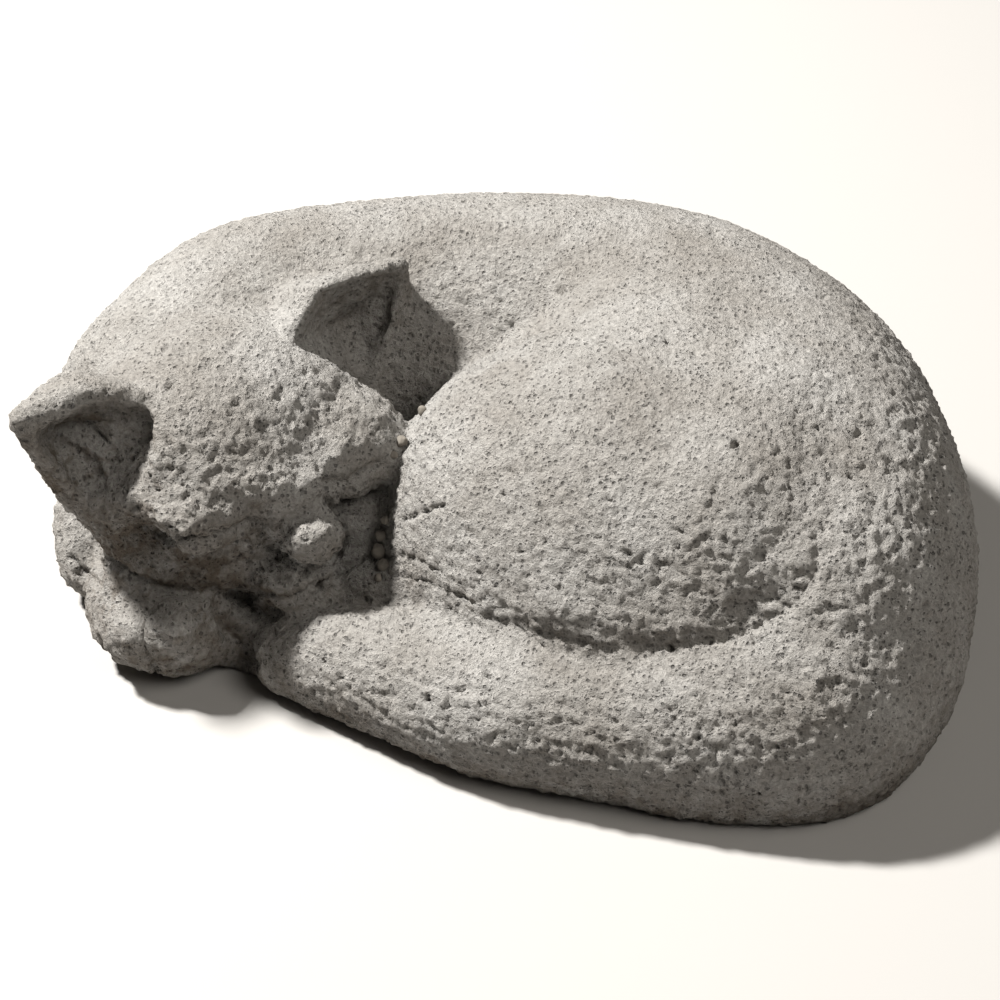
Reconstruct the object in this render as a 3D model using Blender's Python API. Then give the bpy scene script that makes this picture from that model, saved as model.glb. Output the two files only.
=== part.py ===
"""A cat curled up asleep: a garden statue cast in one solid piece.

Run with: blender --background --python part.py
Metres, +Z up. The head lies at -X, the rump at +X and the tail along -Y.
The origin is under the middle of the figure, on the flat underside.

The figure is built the way a modeller lays up clay: lumps and rolls are pressed
together, their joins are softened, the carving is cut in, and the underside is
sliced off flat. All places and sizes of the carving are in squares of one grid.
"""

import math

import bmesh
import bpy
import numpy as np
from mathutils import Euler, Matrix, Vector

# Driving dimension, and the grid that the figure is set out on
LENGTH = 0.364
SQUARES_ALONG = 36.4
SQUARE = LENGTH / SQUARES_ALONG

# Clay: the size of its grain in each stage, and how long its joins are rubbed soft
TRUNK_GRAIN = 0.32
TRUNK_RUBS = 40
LIMB_GRAIN = 0.24
LIMB_RUBS = 5
EAR_GRAIN = 0.17
EAR_RUBS = 3
BALLS_PER_SQUARE = 3

# The finished skin: how many triangles it is thinned to, and the cast stone
MOST_TRIANGLES = 9800
STONE_COLOUR = (0.36, 0.34, 0.315, 1)
STONE_ROUGHNESS = 0.95

# Trunk: a fat roll from the nape round the back to the rump,
# as (x, y, z, sideways radius, upward radius)
BACK_ROLL = [
    (-13.0, -1.0, 4.5, 5.3, 5.9),
    (-11.8, 2.9, 3.9, 5.4, 7.1),
    (-8.4, 5.4, 3.5, 5.8, 7.4),
    (-3.4, 7.5, 3.3, 6.1, 7.7),
    (3.2, 8.1, 3.2, 6.4, 8.2),
    (8.8, 5.4, 3.2, 6.2, 8.4),
    (12.0, 0.6, 3.2, 5.9, 8.1),
    (12.8, -3.3, 3.1, 5.8, 7.2),
]

# Haunch: the folded hind leg with the knee at its left end, then the flank and the
# belly behind it, the hip beside it, the loin between hip and back, and the low
# chest and throat in front
HAUNCH = dict(place=(5.0, -1.8, 3.8), radii=(9.5, 7.7, 8.2), turn=(0, 0, -6))
BELLY = dict(place=(6.0, 4.6, 3.3), radii=(9.2, 7.6, 8.4), turn=(0, 0, 0))
FLANK = dict(place=(6.0, 1.2, 3.6), radii=(8.4, 7.6, 8.3), turn=(0, 0, 0))
HIP = dict(place=(8.8, -2.9, 4.0), radii=(6.4, 6.1, 7.9), turn=(0, 0, 0))
LOIN = dict(place=(9.4, 0.2, 3.6), radii=(7.2, 8.0, 8.5), turn=(0, 0, 0))
CHEST = dict(place=(-6.0, -3.0, 0.8), radii=(7.0, 5.2, 3.0), turn=(0, 0, 0))
THROAT = dict(place=(-7.6, -6.8, 0.6), radii=(3.2, 2.7, 1.8), turn=(0, 0, 0))

# Tail: a roll from the rump along the front to the tip beside the paw
TAIL_ROLL = [
    (13.3, -4.1, 2.9, 5.3, 5.6),
    (13.1, -6.7, 2.6, 4.5, 4.8),
    (10.3, -8.5, 2.2, 3.5, 3.9),
    (6.6, -9.3, 2.1, 3.0, 3.1),
    (2.6, -9.7, 2.0, 2.8, 2.8),
    (-1.2, -9.2, 1.8, 2.5, 2.4),
    (-3.9, -8.9, 1.6, 2.1, 2.1),
    (-5.8, -9.0, 1.3, 1.5, 1.5),
]

# Hind foot, tucked between the haunch and the tail
FOOT_ROLL = [
    (3.2, -6.8, 2.4, 2.0, 1.8),
    (-0.4, -6.6, 2.2, 1.9, 1.7),
    (-3.0, -6.3, 2.0, 1.8, 1.7),
    (-4.6, -6.4, 1.5, 1.5, 1.5),
]

# Forelegs, folded under the head, each ending in a paw
NEAR_ROLL = [
    (-12.8, -4.2, 2.0, 2.4, 2.1),
    (-12.4, -6.6, 1.9, 2.3, 2.0),
    (-11.6, -8.5, 1.9, 2.4, 2.0),
    (-10.3, -8.9, 1.8, 2.3, 2.0),
]
FAR_ROLL = [
    (-13.8, -1.5, 2.8, 2.8, 3.0),
    (-14.9, -4.5, 2.3, 2.2, 2.3),
    (-14.5, -6.3, 1.7, 1.8, 1.7),
]

# Head, carved facing -Y in its own frame, then turned and set down
HEAD_PLACE = (-9.9, -4.1, 6.0)
HEAD_TURN = (3, 1, 54)
SKULL = dict(place=(0, 0.3, 0.8), radii=(6.5, 4.9, 4.5), turn=(0, 0, 0))
BROW = dict(place=(0, -1.6, 1.2), radii=(5.4, 3.1, 3.0), turn=(0, 0, 0))
JOWL = dict(place=(0, -1.6, -2.1), radii=(4.4, 2.8, 2.1), turn=(0, 0, 0))
NEAR_CHEEK = dict(place=(-4.3, -1.2, -1.9), radii=(1.8, 1.6, 1.6), turn=(0, 0, 0))
FAR_CHEEK = dict(place=(3.6, -3.0, -2.2), radii=(2.3, 2.4, 2.5), turn=(0, 0, 0))
TEMPLE = dict(place=(3.2, -1.8, -1.6), radii=(2.5, 2.2, 2.0), turn=(0, 0, -12))
NEAR_LID = dict(place=(-2.9, -2.5, 1.1), radii=(2.7, 2.1, 1.8), turn=(0, 0, 18))
FAR_LID = dict(place=(2.7, -2.6, 1.4), radii=(3.0, 2.4, 2.2), turn=(0, 0, -18))
BRIDGE = dict(place=(0.1, -2.9, 1.2), radii=(2.9, 2.2, 1.9), turn=(0, 0, 0))
NOSE = dict(place=(0.1, -5.35, 0.0), radii=(1.2, 1.15, 1.0), turn=(0, 0, 0))
MUZZLE = dict(place=(-0.4, -5.0, -2.0), radii=(1.5, 1.5, 1.1), turn=(0, 0, 0))
CHIN = dict(place=(-0.4, -4.2, -2.8), radii=(1.5, 1.2, 0.9), turn=(0, 0, 0))

# Ear: balls with a skin stretched round them, scooped out with smaller ones
EAR_BALLS = [
    (2.4, 0.0, 3.8, 0.5),
    (5.5, 0.7, 5.3, 0.45),
    (8.2, 0.8, 5.2, 0.45),
    (6.0, 0.6, 1.0, 1.0),
    (5.0, 2.6, 2.8, 1.5),
]
SCOOP_BALLS = [
    (3.7, -0.4, 3.9, 0.4),
    (5.4, 0.1, 4.8, 0.35),
    (7.6, 0.3, 4.5, 0.3),
    (6.1, -0.2, 2.0, 0.5),
    (6.2, 0.9, 3.2, 0.8),
    (5.8, -1.9, 3.0, 0.9),
]

# The far ear stands fuller than the near one, and is scooped out wider
FAR_EAR_BALLS = [(4.3, 0.7, 5.7, 0.45), (8.3, 0.9, 4.2, 0.5), (7.4, 1.2, 1.8, 0.8)]
FAR_SCOOP_BALLS = [(3.0, -0.4, 4.5, 0.35), (4.3, 0.0, 5.7, 0.35), (5.8, 0.1, 5.8, 0.35), (7.8, 0.35, 5.0, 0.3)]

# Hollow of the near temple, under the ear
TEMPLE_HOLLOW = dict(place=(-7.2, -3.4, -0.1), radii=(3.0, 2.2, 2.6), turn=(0, 0, 0))

# Grooves carved in the face, as (half width, depth, line). The line is drawn as
# seen from the front, as (x, z), and is cut on both sides, between two depths
FACE_DEPTHS = (-7.5, -1)
FACE_GROOVES = [
    (0.35, 0.5, [(1.9, 0.1), (2.6, -0.2), (3.6, -0.2), (4.8, 0.4)]),
    (0.3, 0.35, [(0, -1.9), (0, -2.7), (0.9, -3.1), (1.9, -3.0)]),
]

# Grooves carved in the body, drawn as seen from above, as (x, y): between hind
# foot and tail, then between the toes
FROM_ABOVE = Matrix.Rotation(math.radians(-90), 4, "X")
BODY_DEPTHS = (-8, 0)
BODY_GROOVES = [
    (0.3, 0.3, [(-4.5, -7.4), (-2.4, -7.2), (-0.9, -7.4), (0.7, -7.6)]),
    (0.3, 0.3, [(-12.6, -10.2), (-12.3, -11.3)]),
    (0.35, 0.5, [(-10.7, -10.0), (-10.6, -11.5)]),
    (0.35, 0.5, [(-14.5, -7.4), (-14.6, -8.8)]),
]


def ball_matrix(place, radii, turn=(0, 0, 0)):
    """Where a unit ball goes to become the ellipsoid, in squares and degrees."""
    angles = Euler([math.radians(angle) for angle in turn])
    return Matrix.LocRotScale(Vector(place), angles, Vector(radii))


def add_lump(clay, lump, frame=Matrix.Identity(4)):
    matrix = Matrix.Scale(SQUARE, 4) @ frame @ ball_matrix(**lump)
    bmesh.ops.create_icosphere(clay, subdivisions=4, radius=1, matrix=matrix)


def smooth_path(stations):
    """The stations joined by one smooth curve, with a ball every part of a square."""
    knots = np.array(stations, float)
    steps = np.linalg.norm(np.diff(knots[:, :3], axis=0), axis=1)
    ends = np.vstack([2 * knots[0] - knots[1], knots, 2 * knots[-1] - knots[-2]])
    made = [knots[0]]
    for i, step in enumerate(steps):
        before, start, end, after = ends[i : i + 4]
        count = max(2, round(step * BALLS_PER_SQUARE))
        for t in np.arange(1, count + 1) / count:
            made.append(
                0.5
                * (
                    2 * start
                    + (end - before) * t
                    + (2 * before - 5 * start + 4 * end - after) * t**2
                    + (3 * start - before - 3 * end + after) * t**3
                )
            )
    return made


def add_roll(clay, stations):
    """A roll of clay: balls close together along a smooth path."""
    for x, y, z, wide, high in smooth_path(stations):
        matrix = Matrix.Scale(SQUARE, 4) @ ball_matrix((x, y, z), (wide, wide, high))
        bmesh.ops.create_icosphere(clay, subdivisions=3, radius=1, matrix=matrix)


def object_of(name, mesh):
    made = bpy.data.objects.new(name, mesh)
    bpy.context.scene.collection.objects.link(made)
    return made


def evaluated_mesh(source):
    """The object's mesh with its modifiers applied. The object itself is removed."""
    graph = bpy.context.evaluated_depsgraph_get()
    mesh = bpy.data.meshes.new_from_object(source.evaluated_get(graph))
    bpy.data.objects.remove(source)
    return mesh


def kneaded(clay, grain, rubs):
    """One skin round all the clay, its joins rubbed soft."""
    mesh = bpy.data.meshes.new("clay")
    clay.to_mesh(mesh)
    clay.free()
    block = object_of("clay", mesh)
    skin = block.modifiers.new("skin", "REMESH")
    skin.mode = "VOXEL"
    skin.voxel_size = grain * SQUARE
    soften = block.modifiers.new("soften", "SMOOTH")
    soften.factor = 0.5
    soften.iterations = rubs
    return evaluated_mesh(block)


def clay_from(mesh):
    clay = bmesh.new()
    clay.from_mesh(mesh)
    return clay


def head_frame():
    tilt, lean, spin = (math.radians(angle) for angle in HEAD_TURN)
    turn = (
        Matrix.Rotation(spin, 4, "Z")
        @ Matrix.Rotation(tilt, 4, "X")
        @ Matrix.Rotation(lean, 4, "Y")
    )
    return Matrix.Translation(HEAD_PLACE) @ turn


def trunk():
    clay = bmesh.new()
    add_roll(clay, BACK_ROLL)
    for lump in (HAUNCH, FLANK, BELLY, HIP, LOIN, CHEST, THROAT):
        add_lump(clay, lump)
    return kneaded(clay, TRUNK_GRAIN, TRUNK_RUBS)


def with_head_and_limbs(mesh):
    clay = clay_from(mesh)
    frame = head_frame()
    for lump in (SKULL, BROW, JOWL, NEAR_CHEEK, FAR_CHEEK, TEMPLE):
        add_lump(clay, lump, frame)
    add_roll(clay, TAIL_ROLL)
    add_roll(clay, FOOT_ROLL)
    add_roll(clay, NEAR_ROLL)
    add_roll(clay, FAR_ROLL)
    return kneaded(clay, LIMB_GRAIN, LIMB_RUBS)


def add_wrapped(clay, balls, side, frame):
    """The balls, on one side of the face, with a skin stretched round them."""
    wrap = bmesh.new()
    for x, y, z, radius in balls:
        ball = dict(place=(side * x, y, z), radii=(radius, radius, radius))
        add_lump(wrap, ball, frame)
    hull = bmesh.ops.convex_hull(wrap, input=wrap.verts[:])
    spare = [v for v in hull["geom_interior"] if isinstance(v, bmesh.types.BMVert)]
    bmesh.ops.delete(wrap, geom=spare, context="VERTS")
    mesh = bpy.data.meshes.new("wrap")
    wrap.to_mesh(mesh)
    wrap.free()
    clay.from_mesh(mesh)


def with_face(mesh):
    clay = clay_from(mesh)
    scoops = bmesh.new()
    frame = head_frame()
    for side in (-1, 1):
        far = side > 0
        add_wrapped(clay, EAR_BALLS + far * FAR_EAR_BALLS, side, frame)
        add_wrapped(scoops, SCOOP_BALLS + far * FAR_SCOOP_BALLS, side, frame)
    add_lump(scoops, TEMPLE_HOLLOW, frame)
    for lump in (BRIDGE, NOSE, MUZZLE, CHIN, FAR_LID, NEAR_LID):
        add_lump(clay, lump, frame)
    carved = without(kneaded(clay, EAR_GRAIN, EAR_RUBS), scoops)
    for half_width, depth, line in FACE_GROOVES:
        for side in (-1, 1):
            drawn = [(side * x, z) for x, z in line]
            carve(carved, frame, FACE_DEPTHS, half_width, depth, drawn)
    for half_width, depth, line in BODY_GROOVES:
        carve(carved, FROM_ABOVE, BODY_DEPTHS, half_width, depth, line)
    return carved


def away_from(line, points):
    """How far each point lies from the line, both in one plane."""
    nearest = np.full(len(points), np.inf)
    stops = np.array(line, float)
    for start, end in zip(stops, stops[1:]):
        step = end - start
        share = np.clip((points - start) @ step / (step @ step), 0, 1)
        away = np.linalg.norm(points - start - share[:, None] * step, axis=1)
        nearest = np.minimum(nearest, away)
    return nearest


def carve(mesh, frame, depths, half_width, depth, line):
    """A groove pressed straight back along the frame's +Y into what lies between
    the two depths and faces the viewer."""
    places = np.empty(len(mesh.vertices) * 3)
    mesh.vertices.foreach_get("co", places)
    places = places.reshape(-1, 3)
    turn = np.array(frame.to_3x3())
    seen = (places / SQUARE - np.array(frame.translation)) @ turn
    facing = np.array([vertex.normal for vertex in mesh.vertices]) @ turn
    near, far = depths
    front = (seen[:, 1] > near) & (seen[:, 1] < far) & (facing[:, 1] < -0.1)
    away = away_from(line, seen[:, [0, 2]]) / half_width
    press = np.where(front, depth * np.exp(-(away**2)), 0)
    places += SQUARE * press[:, None] * turn[:, 1]
    mesh.vertices.foreach_set("co", places.ravel())
    mesh.update()


def without(mesh, scoops):
    """The mesh with the scoops cut out of it."""
    scoop_mesh = bpy.data.meshes.new("scoops")
    scoops.to_mesh(scoop_mesh)
    scoops.free()
    cutter = object_of("scoops", scoop_mesh)
    block = object_of("block", mesh)
    cut = block.modifiers.new("scoop", "BOOLEAN")
    cut.operation = "DIFFERENCE"
    cut.solver = "EXACT"
    cut.object = cutter
    skin = block.modifiers.new("skin", "REMESH")
    skin.mode = "VOXEL"
    skin.voxel_size = EAR_GRAIN * SQUARE
    soften = block.modifiers.new("soften", "SMOOTH")
    soften.factor = 0.5
    soften.iterations = EAR_RUBS
    made = evaluated_mesh(block)
    bpy.data.objects.remove(cutter)
    return made


def sliced(mesh, height):
    """What stands above the height, with a flat underside."""
    clay = clay_from(mesh)
    cut = bmesh.ops.bisect_plane(
        clay,
        geom=clay.verts[:] + clay.edges[:] + clay.faces[:],
        plane_co=(0, 0, height),
        plane_no=(0, 0, 1),
        clear_inner=True,
    )
    rim = [edge for edge in cut["geom_cut"] if isinstance(edge, bmesh.types.BMEdge)]
    bmesh.ops.triangle_fill(clay, edges=rim, use_beauty=True)
    bmesh.ops.recalc_face_normals(clay, faces=clay.faces[:])
    clay.to_mesh(mesh)
    clay.free()
    return mesh


def thinned(mesh):
    """The skin with fewer triangles, most of them left where it is carved."""
    block = object_of("block", mesh)
    thin = block.modifiers.new("thin", "DECIMATE")
    count = sum(len(face.vertices) - 2 for face in mesh.polygons)
    thin.ratio = MOST_TRIANGLES / count
    return evaluated_mesh(block)


def settled(mesh):
    """Brought to its length and stood over the origin."""
    places = np.empty(len(mesh.vertices) * 3)
    mesh.vertices.foreach_get("co", places)
    places = places.reshape(-1, 3)
    low, high = places.min(axis=0), places.max(axis=0)
    middle = (low + high) / 2
    middle[2] = low[2]
    places = (places - middle) * (LENGTH / (high[0] - low[0]))
    mesh.vertices.foreach_set("co", places.ravel())
    mesh.update()
    return mesh


def cast_stone():
    stone = bpy.data.materials.new("cast stone")
    stone.use_nodes = True
    surface = stone.node_tree.nodes["Principled BSDF"]
    surface.inputs["Base Color"].default_value = STONE_COLOUR
    surface.inputs["Roughness"].default_value = STONE_ROUGHNESS
    surface.inputs["Metallic"].default_value = 0
    stone.diffuse_color = STONE_COLOUR
    return stone


def main():
    for old in list(bpy.data.objects):
        bpy.data.objects.remove(old)
    mesh = with_face(with_head_and_limbs(trunk()))
    mesh = thinned(sliced(mesh, -0.4 * SQUARE))
    mesh = settled(sliced(mesh, 0))
    mesh.shade_smooth()
    cat = object_of("cat", mesh)
    cat.data.materials.clear()
    cat.data.materials.append(cast_stone())


main()
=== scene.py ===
"""Looks of the cat garden statue: one casting in porous, weathered cast stone."""
import math

import bmesh
import bpy
import numpy as np
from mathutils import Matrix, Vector


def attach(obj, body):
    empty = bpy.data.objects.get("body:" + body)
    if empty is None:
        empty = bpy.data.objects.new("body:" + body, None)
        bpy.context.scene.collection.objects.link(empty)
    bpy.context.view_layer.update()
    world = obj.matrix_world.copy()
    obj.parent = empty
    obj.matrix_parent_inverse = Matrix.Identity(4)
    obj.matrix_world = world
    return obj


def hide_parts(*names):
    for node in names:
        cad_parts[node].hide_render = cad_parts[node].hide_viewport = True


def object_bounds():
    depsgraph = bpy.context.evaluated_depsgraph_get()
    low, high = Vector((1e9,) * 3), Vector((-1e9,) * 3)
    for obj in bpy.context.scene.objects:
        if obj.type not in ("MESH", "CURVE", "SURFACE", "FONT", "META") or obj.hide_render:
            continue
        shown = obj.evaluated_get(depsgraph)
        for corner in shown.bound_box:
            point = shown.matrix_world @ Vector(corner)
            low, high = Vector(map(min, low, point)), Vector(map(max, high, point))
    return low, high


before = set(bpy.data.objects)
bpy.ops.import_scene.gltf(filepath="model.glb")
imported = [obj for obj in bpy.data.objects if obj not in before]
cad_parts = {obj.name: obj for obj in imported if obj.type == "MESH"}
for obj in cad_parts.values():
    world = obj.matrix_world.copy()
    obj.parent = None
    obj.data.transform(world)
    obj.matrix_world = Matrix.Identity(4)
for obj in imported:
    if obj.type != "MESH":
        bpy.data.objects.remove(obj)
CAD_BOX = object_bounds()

CM = 0.01
MM = 0.001

# Camera at the photograph's viewing angle
AZIMUTH = 18
ELEVATION = 40
DISTANCE = 1.15
LENS = 110
FILM = 36
PICTURE = 1000
AIM = (-0.15 * CM, -2.57 * CM, 4.5 * CM)

# Mesh of the casting: the grid it is worked on, and how many triangles are kept
GRID = 0.95 * MM
FACET_RUBS = 4
MOST_TRIANGLES = 192000

# The relief fades out in a band above the underside, which stays flat
LEVEL_BAND = 2.5 * MM

# Carving, drawn on the photograph: half width in pixels, depth in millimetres
# (below nought for what is raised), and the line in pixels
CARVED = {
    "far lid": (3.5, 2.4, [(320, 482), (348, 480), (363, 473), (381, 462)]),
    "far eye": (3.0, 1.6, [(321, 482), (323, 497), (334, 508), (352, 514)]),
    "far eye rim": (4.0, -1.4, [(329, 489), (333, 500)]),
    "far cheek": (26.0, -4.0, [(362, 520), (364, 566)]),
    "paw gap": (9.0, 6.0, [(222, 610), (238, 640), (246, 664)]),
    "near lid": (4.2, 3.2, [
        (157, 534), (179, 541), (204, 541), (223, 536), (238, 529), (254, 519),
    ]),
    "near eye corner": (8.0, 4.0, [(259, 527), (263, 530)]),
    "bridge": (20.0, -3.0, [(258, 486), (298, 492), (335, 456)]),
    "nose tip": (15.0, -5.0, [(306, 536), (316, 538)]),
    "muzzle": (14.0, -5.0, [(280, 572)]),
    "nose side": (3.4, 1.6, [(262, 536), (270, 548)]),
    "nose edge": (3.4, 2.2, [
        (279, 530), (280, 548), (292, 564), (308, 570), (326, 567), (340, 555), (345, 536),
    ]),
    "far nostril": (3.0, 1.6, [(333, 551), (337, 556)]),
    "lip": (2.8, 1.8, [(312, 568), (304, 576)]),
    "mouth": (2.8, 1.8, [(320, 570), (316, 582), (297, 597)]),
    "chin": (4.0, 2.4, [(254, 590), (277, 600), (297, 598), (319, 588), (338, 573), (363, 566)]),
    "cheek fold": (6.0, 4.0, [(104, 560), (133, 577), (165, 590), (205, 593), (250, 600)]),
    "far ear ridge": (4.5, -1.6, [(378, 286), (356, 296), (330, 316)]),
    "far ear hollow": (9.0, 1.6, [(380, 300), (380, 330)]),
    "far ear fold": (5.0, 1.2, [(388, 290), (384, 318), (366, 342)]),
    "near ear fold": (3.6, 2.2, [(62, 428), (88, 424), (106, 441)]),
    "near ear ridge": (4.0, -1.4, [(70, 440), (96, 452), (110, 474)]),
    "near paw": (26.0, -6.0, [(128, 632), (174, 632)]),
    "near paw cleft": (3.6, 2.6, [(150, 640), (153, 656), (158, 672)]),
    "near paw edge cleft": (3.2, 2.0, [(104, 636), (113, 652)]),
    "near paw notch": (3.6, 1.8, [(136, 594), (148, 616)]),
    "far paw cleft": (3.0, 2.2, [(71, 558), (86, 573), (97, 584)]),
    "upper knee crack": (2.0, 1.5, [(403, 520), (424, 511), (445, 505)]),
    "lower knee crack": (1.8, 1.1, [(398, 556), (414, 559), (441, 572)]),
    "foot crack": (1.8, 1.0, [(390, 575), (427, 581), (459, 597), (478, 605)]),
    "neck crease": (9.0, 2.0, [(476, 366), (500, 343), (545, 306)]),
    "haunch foot": (22.0, -2.2, [(545, 606), (620, 628), (700, 628)]),
    "tail crease": (4.5, 1.1, [(486, 618), (520, 629), (600, 645), (680, 646), (740, 636), (788, 608)]),
    "tail crease end": (7.0, 1.5, [(788, 608), (813, 577), (820, 552)]),
    "rump hollow": (15.0, 2.2, [(748, 606), (776, 597)]),
    "tail lumps": (7.0, -1.4, [(592, 641), (630, 645)]),
}

# Single knocks and large pores, all of one half width and depth, at these pixels
DENT = dict(half_width=4.2, depth=2.4)
DENTS = [
    (561, 291), (667, 339), (672, 344), (858, 434), (762, 556), (798, 576), (510, 472), (666, 450),
    (735, 445), (715, 231), (490, 677), (236, 345), (262, 428), (170, 388), (640, 560), (580, 410),
]

# What the camera sees: the nearest points in each square of pixels, and those not
# much behind them, that face it
CELL = 4
VIEW_SLACK = 8 * MM
LEAST_FACING = 0.08

# Stone relief, worked into the mesh. A pit's radius is a share of the spacing
SWELL = dict(size=30 * MM, height=1.1 * MM, detail=1.0, seed=3.0)
RIPPLE = dict(size=7 * MM, height=2.3 * MM, detail=2.0, seed=7.0)
GRIT = dict(size=2.9 * MM, height=3.9 * MM, detail=2.0, seed=11.0)
STREAKS = dict(size=3.4 * MM, height=4.2 * MM, detail=2.0, seed=19.0)
STREAK_STRETCH = 0.12
PITS = dict(spacing=3.9 * MM, radius=0.27, depth=1.6 * MM, share=0.5)
PIT_LEAST = 0.55
PIT_EDGE = 0.6
PIT_BEND = dict(scale=260.0, reach=2.2 * MM)

# Where the stone is worn smooth, where it crumbles most, where painted shade darkens
# the face under the brow and ear, and where it is streaked along, as places and reach in centimetres
SMOOTH_SPOTS = [((-13.5, -1.0, 9.5), 4.5), ((-12.0, 3.5, 10.5), 6.0), ((1.0, 9.5, 10.5), 7.0)]
ROUGH_SPOTS = [((-8.5, -9.4, 7.0), 4.0), ((14.0, -4.0, 8.0), 5.0), ((12.0, -9.0, 5.0), 5.0)]
PAINTED_SHADE_SPOTS = [((-9.7, -9.3, 4.0), 3.2), ((-12.1, -10.0, 5.5), 3.0), ((-13.9, -9.9, 8.6), 1.8)]
STREAK_SPOTS = [((0.5, -12.0, 2.4), 4.0), ((5.5, -12.6, 2.6), 4.0)]
SMOOTHED = 0.45
CRUMBLED = 0.4
# How dark the painted shade under the brow and ear is, on faces that point up less than up_to
SPOT_PAINTED_SHADE = dict(amount=1.3, up_to=0.6)

# Painted shade on steep and hanging faces, and a darker tone low down on all but level ones
STEEP_PAINTED_SHADE = dict(amount=0.75, starts=0.55, band=0.8)
LOW_DARKENING = dict(amount=0.5, height=2.5 * CM, up_to=0.8)
MOST_DARKENING = 2

# Grain and pores in the material. A contrast is what noise is multiplied by, and
# what is then added
GRAIN_NOISE = dict(scale=1 / (1.7 * MM), detail=5.0, roughness=0.68)
GRAIN_HEIGHT = 2.6 * MM
GRAIN_CONTRAST = (1.5, 0.29)
DARKEST_GRAIN = 0.45
PORES = dict(across=2.2 * MM, share=0.35)
FINE_PORES = dict(across=1.1 * MM, share=0.25)
PORE_RADIUS = 0.36
PORE_BEND = 0.6
# How much the pores darken the colour: dirt in them, and painted shade in the pits
PORE_DIRT_AND_SHADE = -0.34
PORE_DEPTH = 0.75
STONE_ROUGHNESS = 0.95
STONE_SHINE = 0.2
PALE_STONE = (0.365, 0.355, 0.338)
DULL_STONE = (0.265, 0.250, 0.230)
CLOUD_NOISE = dict(scale=24.0, detail=4.0, roughness=0.6)
CLOUD_CONTRAST = (3.2, -1.1)
# The dark brown that painted shade and the darker tone low down mix the stone towards
DARKENED_STONE = (0.125, 0.104, 0.083)
DARKENING_COVER = 0.85
BLOTCH_NOISE = dict(scale=120.0, detail=3.0, roughness=0.6)
BLOTCH_CONTRAST = (2.4, -0.65)

# Gravel lying in the crevice by the cheek, as (pixel across, pixel down, radius in
# millimetres)
GRAVEL_STANDS = 0.3
GRAVEL_LUMPS = dict(size=2.75 * MM, height=1.8 * MM)
GRAVEL_TURN = 6.28
GRAVEL_SEED = 4
GRAVEL_ROUNDNESS = 4
GRAVEL_ROUGHNESS = 0.8
GRAVEL_CLOUD_SCALE = 160.0
DARK_GRAVEL = (0.09, 0.078, 0.062)
PALE_GRAVEL = (0.24, 0.22, 0.19)
GRAVEL = [
    (382, 552, 2.9), (384, 566, 2.4), (383, 535, 2.2), (386, 521, 1.6), (424, 411, 1.9), (402, 441, 2.2),
    (395, 455, 1.5), (379, 577, 1.6),
]

# Studio
FLOOR_SIZE = 6
FLOOR_COLOUR = (0.40, 0.392, 0.38)
FLOOR_ROUGHNESS = 0.9
KEY_TOWARDS = (-0.58, 0.03, 0.81)
KEY_DISTANCE = 2.2
KEY_SIZE = 0.2
KEY_POWER = 142
KEY_COLOUR = (1.0, 0.975, 0.94)
FILL_TOWARDS = (0.55, -0.20, 0.81)
FILL_DISTANCE = 2.0
FILL_SIZE = 1.0
FILL_POWER = 16
SKY = (1.0, 0.95, 0.88)
SKY_STRENGTH = 0.025


def mesh_object(name, mesh):
    """A named object at the origin that shows a mesh."""
    made = bpy.data.objects.new(name, mesh)
    bpy.context.scene.collection.objects.link(made)
    return made


def evaluated(made):
    """The object with its modifiers worked into its mesh, and the modifiers gone."""
    graph = bpy.context.evaluated_depsgraph_get()
    mesh = bpy.data.meshes.new_from_object(made.evaluated_get(graph))
    made.modifiers.clear()
    made.data = mesh
    return made


def positions(mesh):
    """The mesh's points, as rows of metres."""
    places = np.empty(len(mesh.vertices) * 3, np.float32)
    mesh.vertices.foreach_get("co", places)
    return places.reshape(-1, 3).astype(float)


def normals(mesh):
    """The mesh's outward directions at its points."""
    facing = np.empty(len(mesh.vertices) * 3, np.float32)
    mesh.vertex_normals.foreach_get("vector", facing)
    return facing.reshape(-1, 3).astype(float)


def mark(mesh, name, values):
    """Keeps one number for each point of the mesh."""
    if name in mesh.attributes:
        mesh.attributes.remove(mesh.attributes[name])
    kept = mesh.attributes.new(name, "FLOAT", "POINT")
    kept.data.foreach_set("value", values.astype(np.float32))


def camera_axes():
    """The camera's right, up and backward directions."""
    turn = math.radians(AZIMUTH)
    rise = math.radians(ELEVATION)
    flat = math.cos(rise)
    back = np.array([math.sin(turn) * flat, -math.cos(turn) * flat, math.sin(rise)])
    right = np.array([math.cos(turn), math.sin(turn), 0])
    return right, np.cross(back, right), back


def in_picture(places):
    """Where the points fall in the photograph, in pixels, and how far off they are."""
    right, up, back = camera_axes()
    away = places - np.array(AIM) - back * DISTANCE
    depth = -(away @ back)
    reach = LENS / FILM * PICTURE / depth
    across = PICTURE / 2 + away @ right * reach
    down = PICTURE / 2 - away @ up * reach
    return np.column_stack([across, down]), depth


def shown(pixels, depth, facing):
    """Which points the camera sees: facing it, and none much nearer beside them."""
    cells = np.floor(pixels / CELL).astype(int)
    cells -= cells.min(axis=0)
    index = cells[:, 0] * (cells[:, 1].max() + 1) + cells[:, 1]
    nearest = np.full(index.max() + 1, np.inf)
    np.minimum.at(nearest, index, depth)
    return (depth - nearest[index] < VIEW_SLACK) & (facing @ camera_axes()[2] > LEAST_FACING)


def away_from(line, points):
    """How far each point lies from the line, both in one plane."""
    nearest = np.full(len(points), np.inf)
    stops = np.array(line, float)
    for start, end in zip(stops, stops[1:]):
        step = end - start
        share = np.clip((points - start) @ step / (step @ step), 0, 1)
        away = np.linalg.norm(points - start - share[:, None] * step, axis=1)
        nearest = np.minimum(nearest, away)
    return nearest


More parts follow.
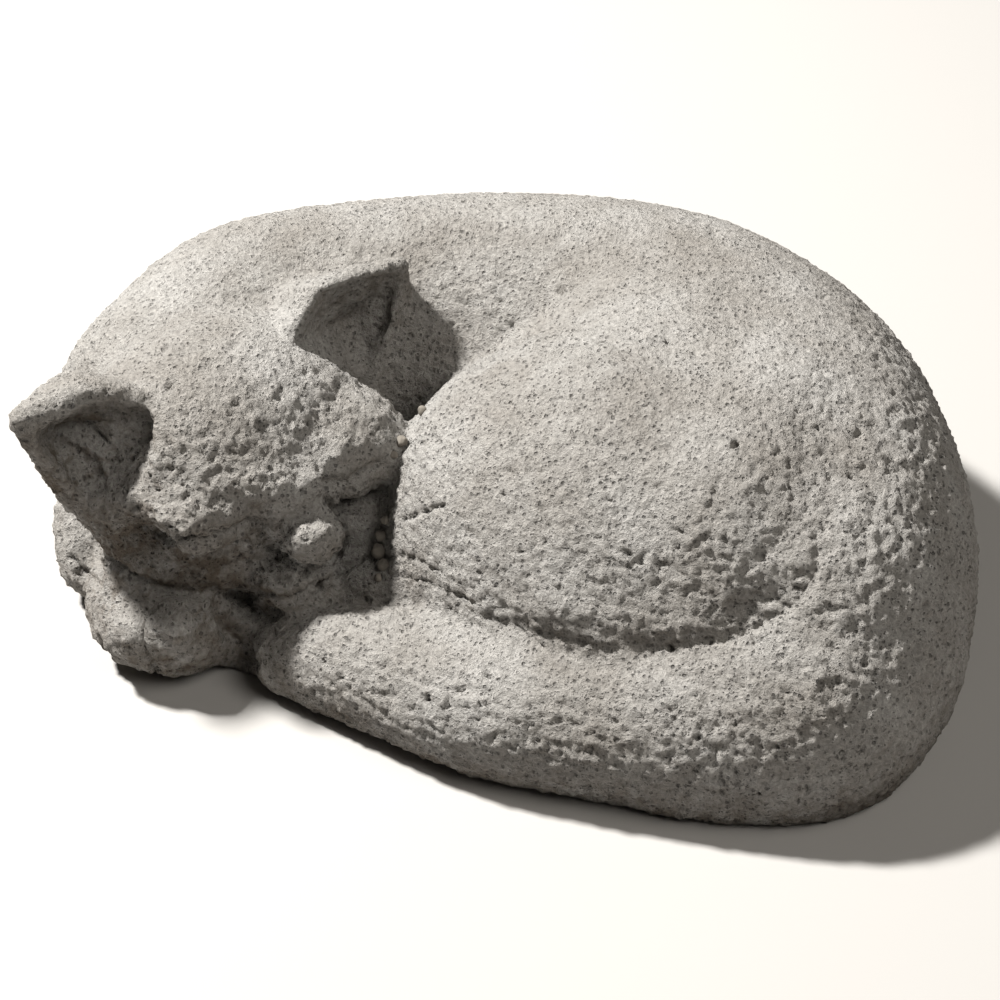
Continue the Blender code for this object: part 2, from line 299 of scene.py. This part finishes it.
def even_casting():
    """The solid's form on an even fine grid, its facets rubbed away."""
    shape = bmesh.new()
    shape.from_mesh(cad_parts["cat"].data)
    bmesh.ops.remove_doubles(shape, verts=shape.verts, dist=0.01 * MM)
    mesh = bpy.data.meshes.new("weathered_cat")
    shape.to_mesh(mesh)
    shape.free()
    mesh.materials.clear()
    made = mesh_object("weathered_cat", mesh)
    round_off = made.modifiers.new("round", "SUBSURF")
    round_off.levels = round_off.render_levels = 2
    remesh = made.modifiers.new("grid", "REMESH")
    remesh.mode = "VOXEL"
    remesh.voxel_size = GRID
    rub = made.modifiers.new("rub", "SMOOTH")
    rub.factor = 0.5
    rub.iterations = FACET_RUBS
    return evaluated(made)


def carve(mesh):
    """The face, ears, toes, cracks and dents, cut in where the photograph shows them."""
    places = positions(mesh)
    facing = normals(mesh)
    pixels, depth = in_picture(places)
    seen = shown(pixels, depth, facing)
    points = pixels[seen]
    press = np.zeros(len(points))
    for half_width, cut, line in CARVED.values():
        press += cut * MM * np.exp(-((away_from(line, points) / half_width) ** 2))
    for dent in DENTS:
        away = np.linalg.norm(points - dent, axis=1) / DENT["half_width"]
        press += DENT["depth"] * MM * np.exp(-(away**2))
    places[seen] -= facing[seen] * press[:, None]
    places[:, 2] = np.maximum(places[:, 2], 0)
    mesh.vertices.foreach_set("co", places.astype(np.float32).ravel())
    mesh.update()


def nearness(places, spots):
    """How near each point is to any of the spots, from 0 to 1."""
    near = np.zeros(len(places))
    for spot, reach in spots:
        away = np.linalg.norm(places / CM - spot, axis=1) / reach
        near = np.maximum(near, np.exp(-(away**2)))
    return near


def mark_stone(mesh):
    """Marks how rough and how streaked the stone is at each point, and its painted shade and low
    darkening.
    """
    places = positions(mesh)
    facing = normals(mesh)
    upward = facing[:, 2]
    smooth = SMOOTHED * nearness(places, SMOOTH_SPOTS)
    mark(mesh, "rough", 1 - smooth + CRUMBLED * nearness(places, ROUGH_SPOTS))
    mark(mesh, "streak", nearness(places, STREAK_SPOTS))
    # Darkening: painted shade on steep and hanging faces and under the brow and ear, and a darker tone
    # low down
    steep = np.clip((STEEP_PAINTED_SHADE["starts"] - upward) / STEEP_PAINTED_SHADE["band"], 0, 1)
    low = np.clip(1 - places[:, 2] / LOW_DARKENING["height"], 0, 1) * (upward < LOW_DARKENING["up_to"])
    spots = nearness(places, PAINTED_SHADE_SPOTS) * (upward < SPOT_PAINTED_SHADE["up_to"])
    darkened = STEEP_PAINTED_SHADE["amount"] * steep + LOW_DARKENING["amount"] * low + SPOT_PAINTED_SHADE["amount"] * spots
    mark(mesh, "darkened", np.clip(darkened, 0, MOST_DARKENING))


class Tree:
    """Shorthand for building a node tree: add a node, feed its sockets, do sums."""

    def __init__(self, tree):
        self.tree = tree

    def add(self, kind, settings=None, **feeds):
        node = self.tree.nodes.new(kind)
        for name, value in (settings or {}).items():
            setattr(node, name, value)
        for name, value in feeds.items():
            self.feed(node, name.replace("_", " "), value)
        return node

    def feed(self, node, name, value):
        socket = node.inputs[int(name)] if name.isdigit() else node.inputs[name]
        if isinstance(value, bpy.types.NodeSocket):
            self.tree.links.new(value, socket)
        else:
            socket.default_value = value

    def math(self, operation, *values, clamp=False):
        node = self.add("ShaderNodeMath", {"operation": operation, "use_clamp": clamp})
        for index, value in enumerate(values):
            self.feed(node, str(index), value)
        return node.outputs[0]

    def vector(self, operation, first, second):
        node = self.add("ShaderNodeVectorMath", {"operation": operation})
        self.feed(node, "0", first)
        self.feed(node, "Scale" if operation == "SCALE" else "1", second)
        return node.outputs[0]


def geometry_tree(name, sizes):
    """A geometry node tree with a mesh input and named number inputs."""
    tree = bpy.data.node_groups.new(name, "GeometryNodeTree")
    tree.interface.new_socket("Geometry", in_out="INPUT", socket_type="NodeSocketGeometry")
    tree.interface.new_socket("Geometry", in_out="OUTPUT", socket_type="NodeSocketGeometry")
    keys = {}
    for label, value in sizes.items():
        socket = tree.interface.new_socket(label, in_out="INPUT", socket_type="NodeSocketFloat")
        socket.default_value = value
        keys[label] = socket.identifier
    return tree, keys


def grow(made, tree, keys, sizes):
    """Puts the tree on the object as a modifier, with its inputs set."""
    growth = made.modifiers.new(tree.name, "NODES")
    growth.node_group = tree
    for label, value in sizes.items():
        growth[keys[label]] = value


def weather(cat):
    """Swells, ripples, grit, pits and streaks over the casting, in its mesh."""
    sizes = {
        "Swell size": SWELL["size"],
        "Swell height": SWELL["height"],
        "Ripple size": RIPPLE["size"],
        "Ripple height": RIPPLE["height"],
        "Grit size": GRIT["size"],
        "Grit height": GRIT["height"],
        "Pit spacing": PITS["spacing"],
        "Pit radius": PITS["radius"],
        "Pit depth": PITS["depth"],
        "Pit share": PITS["share"],
        "Streak size": STREAKS["size"],
        "Streak height": STREAKS["height"],
        "Streak stretch": STREAK_STRETCH,
        "Level band": LEVEL_BAND,
    }
    tree, keys = geometry_tree("stone_relief", sizes)
    build = Tree(tree)
    start = build.add("NodeGroupInput")
    size = {label: start.outputs[label] for label in sizes}
    spot = build.add("GeometryNodeInputPosition").outputs[0]

    def kept(name):
        node = build.add("GeometryNodeInputNamedAttribute", {"data_type": "FLOAT"}, Name=name)
        return node.outputs["Attribute"]

    def noise(where, label, kind):
        scale = build.math("DIVIDE", 1.0, size[label + " size"])
        node = build.add("ShaderNodeTexNoise", {"noise_dimensions": "4D"}, Vector=where, Scale=scale)
        build.feed(node, "Detail", kind["detail"])
        build.feed(node, "W", kind["seed"])
        level = build.math("SUBTRACT", node.outputs[0], 0.5)
        return build.math("MULTIPLY", level, size[label + " height"])

    swell = noise(spot, "Swell", SWELL)
    ripple = noise(spot, "Ripple", RIPPLE)
    grit = noise(spot, "Grit", GRIT)
    split = build.add("ShaderNodeSeparateXYZ", Vector=spot)
    drawn = build.math("MULTIPLY", split.outputs[0], size["Streak stretch"])
    along = build.add("ShaderNodeCombineXYZ", X=drawn, Y=split.outputs[1], Z=split.outputs[2])
    streak = noise(along.outputs[0], "Streak", STREAKS)
    streak = build.math("MULTIPLY", streak, kept("streak"))
    bend = build.add("ShaderNodeTexNoise", Vector=spot, Scale=PIT_BEND["scale"], Detail=2.0)
    bend = build.vector("SCALE", bend.outputs["Color"], PIT_BEND["reach"])
    bent = build.vector("ADD", spot, bend)
    pit_scale = build.math("DIVIDE", 1.0, size["Pit spacing"])
    cells = build.add("ShaderNodeTexVoronoi", {"feature": "F1"}, Vector=bent, Scale=pit_scale)
    chance = build.add("FunctionNodeSeparateColor", Color=cells.outputs["Color"])
    spread = build.math("ADD", PIT_LEAST, chance.outputs[1])
    radius = build.math("MULTIPLY", size["Pit radius"], spread)
    near = build.math("SUBTRACT", 1.0, build.math("DIVIDE", cells.outputs["Distance"], radius))
    pit = build.math("POWER", build.math("MAXIMUM", near, 0.0), PIT_EDGE)
    pit = build.math("MULTIPLY", pit, build.math("LESS_THAN", chance.outputs[0], size["Pit share"]))
    pit = build.math("MULTIPLY", pit, size["Pit depth"])
    rough = kept("rough")
    height = build.math("SUBTRACT", build.math("ADD", ripple, grit), pit)
    height = build.math("ADD", build.math("MULTIPLY", height, rough), build.math("ADD", swell, streak))
    level = build.math("DIVIDE", split.outputs[2], size["Level band"])
    level = build.math("MINIMUM", build.math("MAXIMUM", level, 0.0), 1.0)
    height = build.math("MULTIPLY", height, level)
    facing = build.add("GeometryNodeInputNormal").outputs[0]
    move = build.add("GeometryNodeSetPosition", Offset=build.vector("SCALE", facing, height))
    tree.links.new(start.outputs["Geometry"], move.inputs["Geometry"])
    whole = build.add("GeometryNodeRealizeInstances", Geometry=move.outputs[0])
    paint = build.add("GeometryNodeSetMaterial", Geometry=whole.outputs[0], Material=cast_stone())
    end = build.add("NodeGroupOutput")
    tree.links.new(paint.outputs[0], end.inputs["Geometry"])
    grow(cat, tree, keys, sizes)
    thin = cat.modifiers.new("thin", "DECIMATE")
    faces = len(cat.data.loops) - 2 * len(cat.data.polygons)
    thin.ratio = min(1.0, MOST_TRIANGLES / faces)
    evaluated(cat)
    keep_within_solid(cat.data)
    cat.data.shade_smooth()


def keep_within_solid(mesh):
    """No point of the relief stands beyond the box of the solid."""
    low, high = (np.array(corner) for corner in CAD_BOX)
    places = np.clip(positions(mesh), low, high)
    mesh.vertices.foreach_set("co", places.astype(np.float32).ravel())
    mesh.update()


def blended(build, kind, share, first, second):
    """Two colours mixed in a material."""
    node = build.add("ShaderNodeMix", {"data_type": "RGBA", "blend_type": kind})
    for index, value in ((0, share), (6, first), (7, second)):
        if isinstance(value, tuple):
            value = (*value, 1)
        build.feed(node, str(index), value)
    return node.outputs[2]


def cast_stone():
    """Grey cast stone: pale grains, pores darkened by dirt and painted shade, painted shade on sheltered
    and hanging faces, and a darker tone low down.
    """
    finish = bpy.data.materials.new("cast_stone")
    finish.use_nodes = True
    build = Tree(finish.node_tree)
    shader = finish.node_tree.nodes["Principled BSDF"]
    shader.inputs["Roughness"].default_value = STONE_ROUGHNESS
    shader.inputs["Specular IOR Level"].default_value = STONE_SHINE
    spot = build.add("ShaderNodeTexCoord").outputs["Object"]
    darkened = build.add("ShaderNodeAttribute", {"attribute_name": "darkened"}).outputs["Fac"]
    rough = build.add("ShaderNodeAttribute", {"attribute_name": "rough"}).outputs["Fac"]

    def noise(scale, detail, roughness):
        feeds = dict(Vector=spot, Scale=scale, Detail=detail, Roughness=roughness)
        return build.add("ShaderNodeTexNoise", **feeds)

    def contrast(level, factors, clamp=False):
        return build.math("MULTIPLY_ADD", level, *factors, clamp=clamp)

    grain = noise(**GRAIN_NOISE)
    patch = noise(**BLOTCH_NOISE)
    cloud = noise(**CLOUD_NOISE)

    def pores(across, share):
        bend = build.vector("SCALE", grain.outputs["Color"], PORE_BEND * across)
        bent = build.vector("ADD", spot, bend)
        cells = build.add("ShaderNodeTexVoronoi", {"feature": "F1"}, Vector=bent, Scale=1 / across)
        chance = build.add("ShaderNodeSeparateColor", Color=cells.outputs["Color"])
        near = build.math("SUBTRACT", PORE_RADIUS, cells.outputs["Distance"])
        near = build.math("MULTIPLY", near, 2.0 / PORE_RADIUS, clamp=True)
        there = build.math("LESS_THAN", chance.outputs[0], share)
        return build.math("MULTIPLY", near, there)

    pore = build.math("MAXIMUM", pores(**PORES), pores(**FINE_PORES))
    pore = build.math("MULTIPLY", pore, rough)
    cloudy = contrast(cloud.outputs[0], CLOUD_CONTRAST, clamp=True)
    stone = blended(build, "MIX", cloudy, DULL_STONE, PALE_STONE)
    # Painted shade on sheltered and hanging faces and a darker tone low down, broken into blotches, mix
    # the stone towards dark brown
    blotch = contrast(patch.outputs[0], BLOTCH_CONTRAST, clamp=True)
    darkened_share = build.math("MULTIPLY", darkened, blotch)
    darkened_share = build.math("MULTIPLY", darkened_share, DARKENING_COVER, clamp=True)
    stone = blended(build, "MIX", darkened_share, stone, DARKENED_STONE)
    speck = build.math("MAXIMUM", contrast(grain.outputs[0], GRAIN_CONTRAST), DARKEST_GRAIN)
    # Pores darken the colour: dirt in them, and painted shade in the pits
    shade = build.math("MULTIPLY", speck, contrast(pore, (PORE_DIRT_AND_SHADE, 1.0)))
    tint = build.add("ShaderNodeCombineColor", Red=shade, Green=shade, Blue=shade)
    stone = blended(build, "MULTIPLY", 1.0, stone, tint.outputs[0])
    build.feed(shader, "Base Color", stone)
    height = build.math("SUBTRACT", grain.outputs[0], build.math("MULTIPLY", pore, PORE_DEPTH))
    bump = build.add("ShaderNodeBump", Height=height, Strength=1.0, Distance=GRAIN_HEIGHT)
    build.feed(shader, "Normal", bump.outputs[0])
    return finish


def gravel_stone():
    """Dusty brown gravel."""
    finish = bpy.data.materials.new("gravel")
    finish.use_nodes = True
    build = Tree(finish.node_tree)
    shader = finish.node_tree.nodes["Principled BSDF"]
    shader.inputs["Roughness"].default_value = GRAVEL_ROUGHNESS
    spot = build.add("ShaderNodeTexCoord").outputs["Object"]
    cloud = build.add("ShaderNodeTexNoise", Vector=spot, Scale=GRAVEL_CLOUD_SCALE, Detail=3.0)
    colour = blended(build, "MIX", cloud.outputs[0], DARK_GRAVEL, PALE_GRAVEL)
    build.feed(shader, "Base Color", colour)
    return finish


def gravel(cat):
    """Loose stones in the crevice, each set on the casting where the photograph shows it."""
    places = positions(cat.data)
    facing = normals(cat.data)
    pixels, depth = in_picture(places)
    seen = np.flatnonzero(shown(pixels, depth, facing))
    spots = []
    for across, down, radius in GRAVEL:
        nearest = seen[np.argmin(np.linalg.norm(pixels[seen] - (across, down), axis=1))]
        spots.append(places[nearest] + facing[nearest] * GRAVEL_STANDS * radius * MM)
    mesh = bpy.data.meshes.new("crevice_gravel")
    mesh.from_pydata([tuple(spot) for spot in spots], [], [])
    mark(mesh, "radius", np.array([radius * MM for _, _, radius in GRAVEL]))
    made = mesh_object("crevice_gravel", mesh)
    sizes = {"Lump size": GRAVEL_LUMPS["size"], "Lump height": GRAVEL_LUMPS["height"]}
    tree, keys = geometry_tree("crevice_gravel", sizes)
    build = Tree(tree)
    start = build.add("NodeGroupInput")
    ball = build.add("GeometryNodeMeshIcoSphere", Radius=1.0, Subdivisions=GRAVEL_ROUNDNESS)
    radius = build.add("GeometryNodeInputNamedAttribute", {"data_type": "FLOAT"}, Name="radius")
    turn = build.add("FunctionNodeRandomValue", {"data_type": "FLOAT_VECTOR"}, Seed=GRAVEL_SEED)
    build.feed(turn, "Max", (GRAVEL_TURN,) * 3)
    stamp = build.add("GeometryNodeInstanceOnPoints", Rotation=turn.outputs[0])
    build.feed(stamp, "Scale", radius.outputs[0])
    tree.links.new(start.outputs["Geometry"], stamp.inputs["Points"])
    tree.links.new(ball.outputs[0], stamp.inputs["Instance"])
    solid = build.add("GeometryNodeRealizeInstances")
    tree.links.new(stamp.outputs[0], solid.inputs[0])
    spot = build.add("GeometryNodeInputPosition").outputs[0]
    scale = build.math("DIVIDE", 1.0, start.outputs["Lump size"])
    lump = build.add("ShaderNodeTexNoise", Vector=spot, Scale=scale, Detail=1.0)
    push = build.math("SUBTRACT", lump.outputs[0], 0.5)
    push = build.math("MULTIPLY", push, start.outputs["Lump height"])
    facing = build.add("GeometryNodeInputNormal").outputs[0]
    move = build.add("GeometryNodeSetPosition", Offset=build.vector("SCALE", facing, push))
    tree.links.new(solid.outputs[0], move.inputs["Geometry"])
    paint = build.add("GeometryNodeSetMaterial", Material=gravel_stone())
    tree.links.new(move.outputs[0], paint.inputs["Geometry"])
    end = build.add("NodeGroupOutput")
    tree.links.new(paint.outputs[0], end.inputs["Geometry"])
    grow(made, tree, keys, sizes)
    evaluated(made)
    made.data.shade_smooth()
    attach(made, "root")


def statue():
    """The weathered casting, in place of the solid. Relief moves its points, so they
    are marked again after it."""
    cat = even_casting()
    carve(cat.data)
    mark_stone(cat.data)
    weather(cat)
    mark_stone(cat.data)
    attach(cat, "root")
    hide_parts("cat")
    return cat


def floor():
    """A plain pale floor."""
    shape = bmesh.new()
    bmesh.ops.create_grid(shape, x_segments=1, y_segments=1, size=FLOOR_SIZE / 2)
    mesh = bpy.data.meshes.new("floor")
    shape.to_mesh(mesh)
    shape.free()
    made = mesh_object("floor", mesh)
    pale = bpy.data.materials.new("pale_floor")
    pale.use_nodes = True
    shader = pale.node_tree.nodes["Principled BSDF"]
    shader.inputs["Base Color"].default_value = (*FLOOR_COLOUR, 1)
    shader.inputs["Roughness"].default_value = FLOOR_ROUGHNESS
    mesh.materials.append(pale)


def area_light(name, towards, distance, size, power, colour):
    """A square light that looks at the origin."""
    towards = Vector(towards).normalized()
    lamp = bpy.data.lights.new(name, "AREA")
    lamp.size = size
    lamp.energy = power
    lamp.color = colour
    made = bpy.data.objects.new(name, lamp)
    made.location = towards * distance
    made.rotation_euler = towards.to_track_quat("Z", "Y").to_euler()
    bpy.context.scene.collection.objects.link(made)


def lights():
    """A key light high on the left, a broad fill high on the right, and a dim surround."""
    area_light("key", KEY_TOWARDS, KEY_DISTANCE, KEY_SIZE, KEY_POWER, KEY_COLOUR)
    area_light("fill", FILL_TOWARDS, FILL_DISTANCE, FILL_SIZE, FILL_POWER, SKY)
    world = bpy.data.worlds.new("studio")
    world.use_nodes = True
    glow = world.node_tree.nodes["Background"]
    glow.inputs["Color"].default_value = (*SKY, 1)
    glow.inputs["Strength"].default_value = SKY_STRENGTH
    bpy.context.scene.world = world
    bpy.context.scene.view_settings.view_transform = "Standard"


def camera():
    """The camera, at the photograph's viewing angle."""
    back = Vector(camera_axes()[2])
    lens = bpy.data.cameras.new("camera")
    lens.lens = LENS
    lens.sensor_width = FILM
    made = bpy.data.objects.new("camera", lens)
    made.location = Vector(AIM) + back * DISTANCE
    made.rotation_euler = back.to_track_quat("Z", "Y").to_euler()
    bpy.context.scene.collection.objects.link(made)
    bpy.context.scene.camera = made


gravel(statue())
floor()
lights()
camera()
